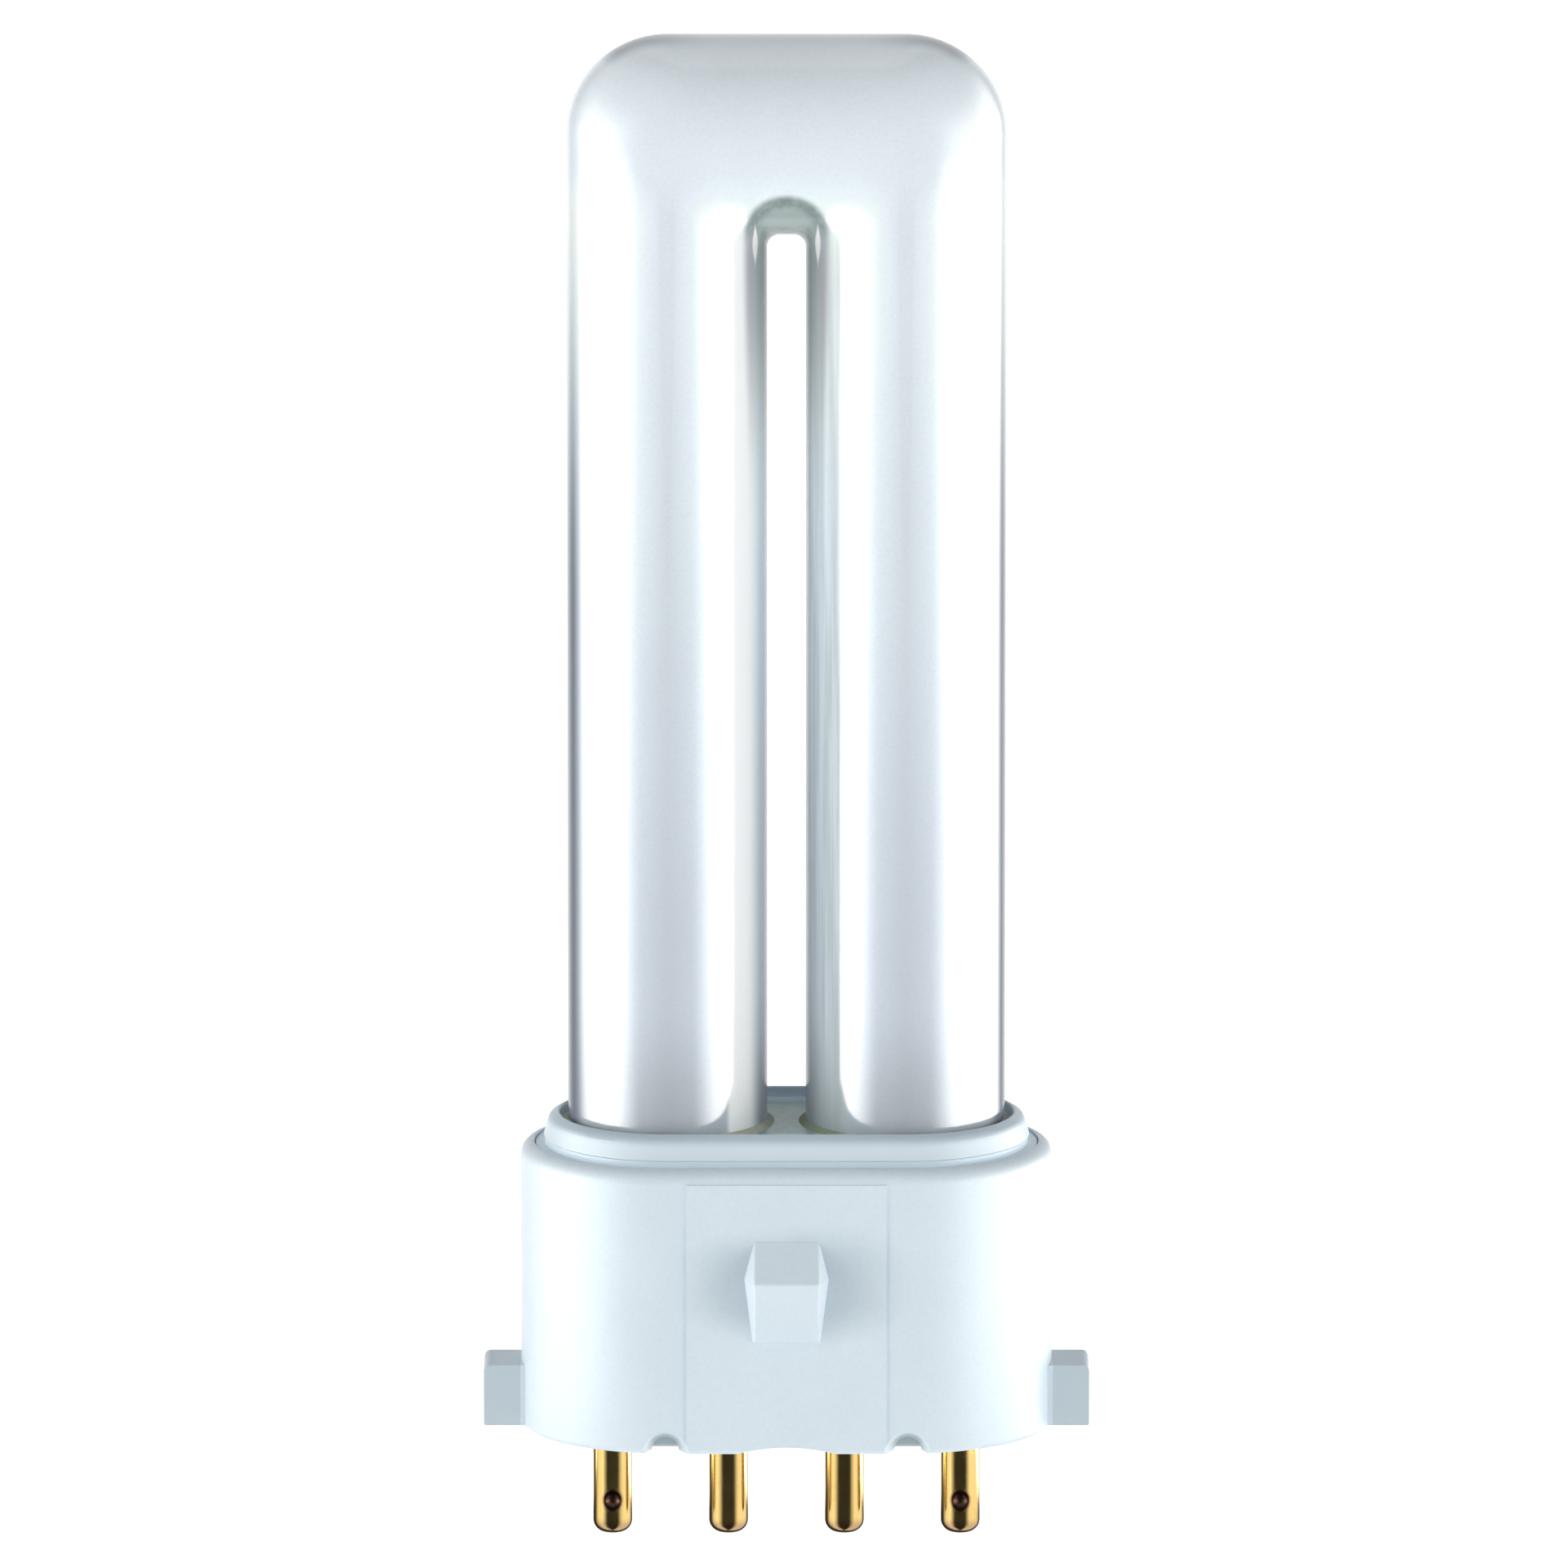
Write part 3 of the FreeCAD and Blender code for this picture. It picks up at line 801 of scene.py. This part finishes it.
@dataclass(frozen=True)
class NickelWire(Finish):
    """Dull grey lead wire."""

    colour: Colour = (0.66, 0.64, 0.60)
    shade: Colour = (0.48, 0.46, 0.43)
    film: Grain = Grain(3000.0)
    film_share: Span = Span(0.35, 0.7)
    film_rough: Span = Span(0.3, 0.7, 0.3, 0.45)

    def fill(self, nodes: Nodes, shader: Node) -> None:
        """Sets the shader's sockets.

        Args:
            nodes: The material's node tree.
            shader: Its Principled shader.
        """
        film = nodes.noise(self.film)
        nodes.feed(shader.inputs["Base Color"],
                   nodes.blend(nodes.spread(film, self.film_share), self.colour, self.shade))
        nodes.feed(shader.inputs["Roughness"], nodes.spread(film, self.film_rough))
        shader.inputs["Metallic"].default_value = 1.0


def dress_node(name: str, finish: Finish) -> None:
    """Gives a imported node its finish.

    Args:
        name: The node's name.
        finish: Its finish.
    """
    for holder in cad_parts[name].material_slots:
        holder.material = finish.material()
    log.info("%s keeps its packed shape, in %s", name, finish.name)


def make_piece(shape: bmesh.types.BMesh, name: str,
               material: bpy.types.Material) -> bpy.types.Object:
    """Turns a modelled shape into an object of the scene.

    Args:
        shape: The modelled shape, which is used up.
        name: The piece's name.
        material: The piece's material.

    Returns:
        The piece, at the origin.
    """
    mesh = bpy.data.meshes.new(name)
    shape.to_mesh(mesh)
    shape.free()
    mesh.materials.append(material)
    piece = bpy.data.objects.new(name, mesh)
    bpy.context.scene.collection.objects.link(piece)
    log.info("%s: faces %d, in %s", name, len(mesh.polygons), material.name)
    return piece


@dataclass
class GlassTube:
    """The sealed glass: two legs, the squared bend over them and the pressed ends.

    The neck is the ring above a pressed end, and the shoulder the one below the round leg. Both
    have the shares of their neighbour's half-width and half-depth.
    """

    radius: float = 0.0060
    leg_gap: float = 0.0023
    top: float = 0.0850
    outer_bend: float = 0.0060
    inner_bend: float = 0.0008
    leg_end: float = 0.0120
    taper: float = 0.0036
    blade: float = 0.0018
    seal_half_width: float = 0.0052
    seal_half_thickness: float = 0.0013
    neck_rise: float = 0.2
    neck_shares: tuple[float, float] = (1.02, 1.6)
    shoulder_drop: float = 0.25
    shoulder_shares: tuple[float, float] = (0.99, 0.88)
    tip_radius: float = 0.0009
    tip_length: float = 0.0015
    tip_segments: int = 24
    around: int = 128
    corner_steps: int = 28
    held_ring: float = 0.0003
    finish: Finish = CoatedGlass("coated_glass_finish")

    @property
    def leg_x(self) -> float:
        """How far each leg's axis is from the lamp's."""
        return self.radius + self.leg_gap / 2

    @staticmethod
    def station(centre: Vector, across: Vector, depth: float) -> Matrix:
        """Where one ring of the skin lies.

        Args:
            centre: The ring's middle.
            across: Its half-width in the plane of the two legs.
            depth: Its half-width towards the front.

        Returns:
            The matrix that takes the unit circle there.
        """
        front = Vector((0, depth, 0))
        ahead = across.cross(front).normalized()
        place = Matrix((across, front, ahead)).transposed().to_4x4()
        place.translation = centre
        return place

    def level(self, side: Side, height: float, half_width: float, depth: float) -> Matrix:
        """A level ring on one leg.

        Args:
            side: The leg.
            height: How high the ring lies.
            half_width: Its half-width along the row of pins.
            depth: Its half-width towards the front.

        Returns:
            The ring's matrix.
        """
        centre = Vector((side.value * self.leg_x, 0, height))
        return self.station(centre, Vector((side.value * half_width, 0, 0)), depth)

    def corner(self, side: Side, angle: float) -> Matrix:
        """A ring in one corner of the bend.

        Each line along the tube turns on its own arc, from the small inner one to the large
        outer one, so the rings lean where the corner starts and ends.

        Args:
            side: The corner.
            angle: How far the corner has turned, 0 at the leg and a quarter turn at the bar.

        Returns:
            The ring's matrix.
        """
        mean = (self.outer_bend + self.inner_bend) / 2
        spread = (self.outer_bend - self.inner_bend) / 2
        lean = self.radius - spread
        axis = self.top - self.radius
        over, along = math.cos(angle), math.sin(angle)
        centre = Vector((side.value * (self.leg_x - mean + mean * over), 0,
                         axis - mean + mean * along))
        across = Vector((side.value * (lean + spread * over), 0, lean + spread * along))
        return self.station(centre, across, self.radius)

    def leg(self, side: Side) -> list[Matrix]:
        """The rings from one pressed end to the middle of the bend.

        Two more rings lie close to the ends of the straight run, which keep it smooth and
        straight in its shading too.

        Args:
            side: The leg.

        Returns:
            The rings' matrices in order.
        """
        blade_top = self.leg_end - self.taper
        wide, thin = self.seal_half_width, self.seal_half_thickness
        neck_wide, neck_thin = self.neck_shares
        shoulder_wide, shoulder_thin = self.shoulder_shares
        rings = [
            self.level(side, blade_top - self.blade, wide, thin),
            self.level(side, blade_top, wide, thin),
            self.level(side, blade_top + self.taper * self.neck_rise, wide * neck_wide,
                       thin * neck_thin),
            self.level(side, self.leg_end - self.taper * self.shoulder_drop,
                       self.radius * shoulder_wide, self.radius * shoulder_thin),
            self.level(side, self.leg_end, self.radius, self.radius),
            self.level(side, self.leg_end + self.held_ring, self.radius, self.radius),
            Matrix.Translation((0, 0, -self.held_ring)) @ self.corner(side, 0.0),
        ]
        turns = [math.pi / 2 * step / self.corner_steps for step in range(self.corner_steps + 1)]
        return rings + [self.corner(side, angle) for angle in turns]

    def build(self) -> bpy.types.Object:
        """Pulls one ring of glass through all its stations and closes both ends.

        Returns:
            The glass, as one closed skin.
        """
        skin = bmesh.new()
        rings = self.leg(Side.LEFT) + self.leg(Side.RIGHT)[::-1]
        bmesh.ops.create_circle(skin, segments=self.around, radius=1.0, cap_ends=True,
                                matrix=rings[0])
        edges = list(skin.edges)
        for last, following in zip(rings, rings[1:]):
            pulled = bmesh.ops.extrude_edge_only(skin, edges=edges)["geom"]
            points = [item for item in pulled if isinstance(item, bmesh.types.BMVert)]
            edges = [item for item in pulled if isinstance(item, bmesh.types.BMEdge)]
            bmesh.ops.transform(skin, verts=points, matrix=following @ last.inverted())
        bmesh.ops.edgeloop_fill(skin, edges=edges)
        log.info("glass skin: rings %d, points to the ring %d", len(rings), self.around)
        self.add_exhaust_tip(skin)
        bmesh.ops.recalc_face_normals(skin, faces=skin.faces)
        for face in skin.faces:
            face.smooth = len(face.verts) == 4
        return make_piece(skin, "glass_tube_skin", self.finish.material())

    def add_exhaust_tip(self, skin: bmesh.types.BMesh) -> None:
        """Adds the melted-off stub under the left leg's pressed end.

        Args:
            skin: The glass that it is added to.
        """
        low = self.leg_end - self.taper - self.blade
        made = bmesh.ops.create_uvsphere(skin, u_segments=self.tip_segments,
                                         v_segments=self.tip_segments // 2,
                                         radius=self.tip_radius)
        just_above = self.tip_radius / 1e6
        upper = [point for point in made["verts"] if point.co.z > just_above]
        stretch = self.tip_length - self.tip_radius + self.blade / 2
        bmesh.ops.translate(skin, verts=upper, vec=Vector((0, 0, stretch)))
        middle = Vector((-self.leg_x, 0, low - self.tip_length + self.tip_radius))
        bmesh.ops.translate(skin, verts=made["verts"], vec=middle)

    def dress(self, piece: bpy.types.Object) -> None:
        """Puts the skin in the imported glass's place.

        Args:
            piece: The finished skin.
        """
        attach(piece, "root")
        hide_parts("glass_tube")


@dataclass
class PlugInBase:
    """The moulded shell, the collar that closes it, and the cement round the glass."""

    shell: Finish = ShellPlastic("shell_plastic_finish")
    # The collar's colour is a darker copy of the shell's plastic: painted shade for its lip and
    # top, which face up, away from the light.
    collar: Finish = CollarPlastic("holder_plastic_finish", colour=(0.56, 0.67, 0.745),
                                   shade=(0.52, 0.635, 0.71),
                                   grain_rough=Span(0.3, 0.7, 0.3, 0.42), shine=0.4)
    left_cement: Finish = LampCement("left_cement_finish", gap_tone=(0.50, 0.54, 0.44))
    right_cement: Finish = LampCement("right_cement_finish")

    def dress(self) -> None:
        """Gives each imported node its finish."""
        dress_node("base_shell", self.shell)
        dress_node("tube_holder", self.collar)
        dress_node("cement_left", self.left_cement)
        dress_node("cement_right", self.right_cement)


@dataclass
class ContactPins:
    """The row of brass pins and the wires inside them."""

    count: int = 4
    brass: Finish = DrawnBrass("pin_brass_finish")
    wire: Finish = NickelWire("lead_wire_finish")

    def dress(self) -> None:
        """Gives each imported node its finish."""
        for number in range(1, self.count + 1):
            dress_node(f"contact_pin_{number}", self.brass)
            dress_node(f"lead_wire_{number}", self.wire)


@dataclass
class PhotoCamera:
    """A long lens a little above the lamp, straight in front of it."""

    distance: float = 1.5
    elevation: float = 12.0
    picture_width: float = 0.0942
    sensor_width: float = 36.0
    nearest: float = 0.05
    farthest: float = 60.0
    centre: Vector = Vector((-0.00015, 0, 0.0393))

    def build(self) -> None:
        """Makes the camera and sets it as the scene's."""
        lens = bpy.data.cameras.new("photo_camera")
        lens.sensor_width = self.sensor_width
        lens.lens = self.sensor_width * self.distance / self.picture_width
        lens.clip_start = self.nearest
        lens.clip_end = self.farthest
        camera = bpy.data.objects.new("photo_camera", lens)
        slope = math.radians(self.elevation)
        back = Vector((0, -math.cos(slope), math.sin(slope)))
        camera.location = self.centre + back * self.distance
        camera.rotation_euler = (math.pi / 2 - slope, 0, 0)
        bpy.context.scene.collection.objects.link(camera)
        bpy.context.scene.camera = camera
        log.info("camera: %.1f m away, %.0f degrees up", self.distance, self.elevation)


@dataclass(frozen=True)
class LightPanel:
    """A tall soft light panel, by the degrees from the front at which it starts and ends."""

    starts: float
    full: float
    fades: float
    ends: float
    light: float

    def level(self, nodes: Nodes, aside: Socket) -> Socket:
        """How bright the panel is in one direction.

        Args:
            nodes: The world's node tree.
            aside: The direction's angle from the front towards the panel, in degrees.

        Returns:
            The brightness's socket.
        """
        rise = nodes.spread(aside, Span(self.starts, self.full))
        fall = nodes.spread(aside, Span(self.ends, self.fades, 0.0, self.light))
        return nodes.product(rise, fall)


@dataclass
class Studio:
    """Pale table, and soft light from two tall panels left and right of the lamp.

    Soft light reaches dull surfaces, and shine is what reflections see. Directions are in
    degrees from the front, and heights are those of a direction, from 0 at the horizon to 1
    straight up.
    """

    # The table, and the part of it near the pins that reflections see dimmed.
    table_height: float = -0.00685
    table_size: float = 8.0
    table_paper: Colour = (0.7, 0.7, 0.7)
    table_glow: float = 0.66
    seen_glow: float = 1.12
    seen_share: float = 0.8
    pin_shine: Colour = (0.085, 0.085, 0.085)
    pin_glow: float = 0.033
    dimmed_reach: Span = Span(0.065, 0.035)
    dimmed_front: Span = Span(0.010, 0.004)

    # The soft light's panels and fill.
    left: LightPanel = LightPanel(44.0, 64.0, 92.0, 122.0, 4.7)
    right: LightPanel = LightPanel(38.0, 60.0, 94.0, 122.0, 3.5)
    panel_height: Span = Span(0.6, 0.12)
    fill_around: Span = Span(60.0, 130.0, 0.66, 0.12)
    fill_height: Span = Span(0.7, 0.1)
    top_fill: float = 0.22

    # What reflections see of the panels.
    left_shine: LightPanel = LightPanel(30.0, 66.0, 86.0, 128.0, 14.0)
    right_shine: LightPanel = LightPanel(27.0, 65.0, 112.0, 150.0, 14.0)
    strip: LightPanel = LightPanel(67.0, 68.5, 70.5, 72.0, 6.0)
    shine_height: Span = Span(-0.05, 0.10, 1.0, 0.4)
    unlit: float = 0.04
    white_behind: Span = Span(138.0, 162.0)

    front_tint: Colour = (0.985, 0.995, 1.0)
    side_tint: Colour = (1.0, 0.968, 0.945)
    tint_around: Span = Span(40.0, 75.0)

    def build(self) -> None:
        """Makes the table and the world."""
        self.build_table()
        self.build_world()
        bpy.context.scene.view_settings.view_transform = "Standard"
        log.info("studio: table and two light panels")

    def build_table(self) -> None:
        """Makes the table that the pins' tips touch."""
        shape = bmesh.new()
        bmesh.ops.create_grid(shape, x_segments=1, y_segments=1, size=self.table_size / 2,
                              matrix=Matrix.Translation((0, 0, self.table_height)))
        make_piece(shape, "studio_table", self.table_material())

    def table_material(self) -> bpy.types.Material:
        """White for the camera, dull and glowing for soft light, and clear for reflections.

        Returns:
            The table's material.
        """
        made = bpy.data.materials.new("studio_table")
        made.use_nodes = True
        nodes = Nodes(made.node_tree)
        path = nodes.add("LightPath")
        seen = path.outputs["Is Camera Ray"]
        unseen = nodes.math("SUBTRACT", 1.0, seen)
        paper = nodes.add("BsdfDiffuse")
        nodes.feed(paper.inputs["Color"], self.table_paper)
        glow = nodes.glow("Emission", nodes.total(nodes.product(seen, self.seen_glow),
                                                  nodes.product(unseen, self.table_glow)))
        lit = nodes.join("AddShader", paper.outputs[0], glow)
        shown = nodes.join("MixShader", nodes.product(seen, self.seen_share), lit, glow)
        reach = nodes.add("VectorMath", operation="LENGTH")
        nodes.feed(reach.inputs[0], nodes.place())
        near = nodes.product(nodes.spread(reach.outputs["Value"], self.dimmed_reach),
                             nodes.spread(nodes.spot().y, self.dimmed_front))
        clear = nodes.add("BsdfTransparent")
        nodes.feed(clear.inputs["Color"], nodes.blend(near, (1.0, 1.0, 1.0), self.pin_shine))
        dusk = nodes.glow("Emission", nodes.product(near, self.pin_glow))
        mirrored = nodes.join("AddShader", clear.outputs[0], dusk)
        every = nodes.join("MixShader", path.outputs["Is Glossy Ray"], shown, mirrored)
        nodes.feed(nodes.add("OutputMaterial").inputs["Surface"], every)
        return made

    def build_world(self) -> None:
        """Makes the light: the white background, and the panels for everything else."""
        world = bpy.data.worlds.new("studio")
        bpy.context.scene.world = world
        world.use_nodes = True
        nodes = Nodes(world.node_tree)
        way = nodes.add("SeparateXYZ")
        nodes.feed(way.inputs[0], nodes.add("TexCoord").outputs["Generated"])
        forward = nodes.product(way.outputs["Y"], -1.0)
        turn = nodes.math("DEGREES", nodes.math("ARCTAN2", way.outputs["X"], forward))
        leftward = nodes.product(turn, -1.0)
        aside = nodes.math("ABSOLUTE", turn)
        up = way.outputs["Z"]
        low = nodes.spread(up, self.panel_height)
        soft = nodes.product(nodes.total(self.right.level(nodes, turn),
                                         self.left.level(nodes, leftward)), low)
        fill = nodes.product(nodes.spread(aside, self.fill_around),
                             nodes.spread(up, self.fill_height))
        soft = nodes.total(soft, nodes.total(fill, self.top_fill))
        shine = nodes.total(self.right_shine.level(nodes, turn),
                            self.left_shine.level(nodes, leftward))
        shine = nodes.product(nodes.total(shine, self.strip.level(nodes, leftward)), low,
                              nodes.spread(up, self.shine_height))
        shine = nodes.total(shine, self.unlit)
        path = nodes.add("LightPath")
        glossy = path.outputs["Is Glossy Ray"]
        dull = nodes.math("SUBTRACT", 1.0, glossy)
        tint = nodes.blend(nodes.spread(aside, self.tint_around), self.front_tint,
                           self.side_tint)
        light = nodes.glow("Background", nodes.total(nodes.product(soft, dull),
                                                     nodes.product(shine, glossy)), tint)
        white = nodes.glow("Background", 1.0)
        behind = nodes.product(glossy, nodes.spread(aside, self.white_behind))
        seen = nodes.math("MAXIMUM", path.outputs["Is Camera Ray"],
                          path.outputs["Is Transmission Ray"])
        every = nodes.join("MixShader", nodes.math("MAXIMUM", seen, behind), light, white)
        nodes.feed(nodes.add("OutputWorld").inputs["Surface"], every)


def main() -> None:
    """Builds and dresses the lamp, a sub-assembly at a time, and then the studio round it."""
    logging.basicConfig(level=logging.INFO, format="%(name)s: %(message)s")
    glass = GlassTube()
    glass.dress(glass.build())
    PlugInBase().dress()
    ContactPins().dress()
    PhotoCamera().build()
    Studio().build()


if __name__ == "__main__":
    main()
